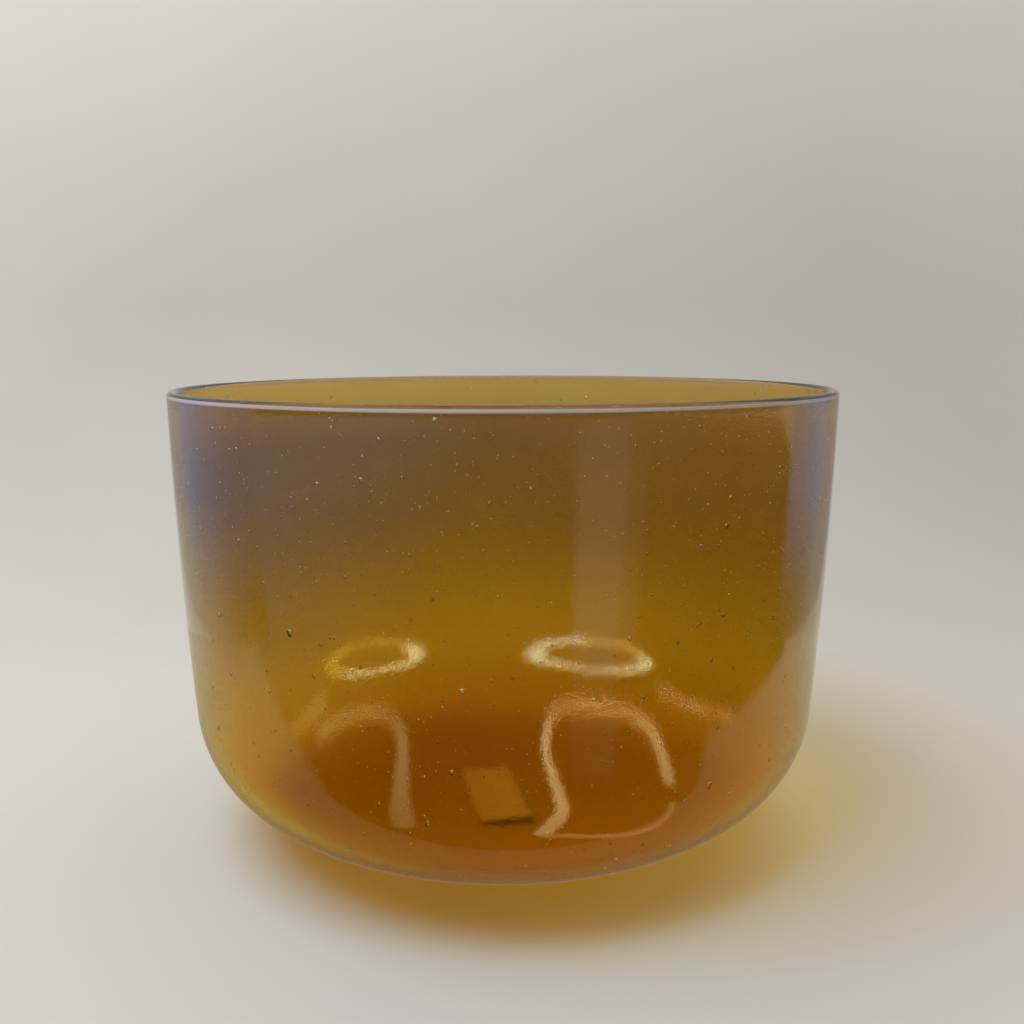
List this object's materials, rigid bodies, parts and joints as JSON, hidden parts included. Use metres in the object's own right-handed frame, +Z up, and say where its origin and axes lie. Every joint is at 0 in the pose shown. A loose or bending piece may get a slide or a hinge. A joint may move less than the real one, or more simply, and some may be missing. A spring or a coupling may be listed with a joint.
{
  "type": "singing bowl",
  "caption": "Clear amber quartz singing bowl with a straight thin wall, round lip, domed base and a blank paper slip lying inside.",
  "frame": {"origin": "centre of the flat seat under the base, which the bowl stands on", "axes": "+Z up along the bowl's axis of revolution; -Y towards the viewer; +X to the viewer's right"},
  "size_m": [0.254, 0.254, 0.1735],
  "materials": {
    "amber_quartz": "fire-polished, faintly rippled and bubbly, with a thin lavender vapour-coat sheen",
    "blank_paper": "matt uncoated paper"
  },
  "bodies": {
    "root": {"bowl_shell": "amber_quartz", "paper_slip": "blank_paper"}
  },
  "joints": []
}
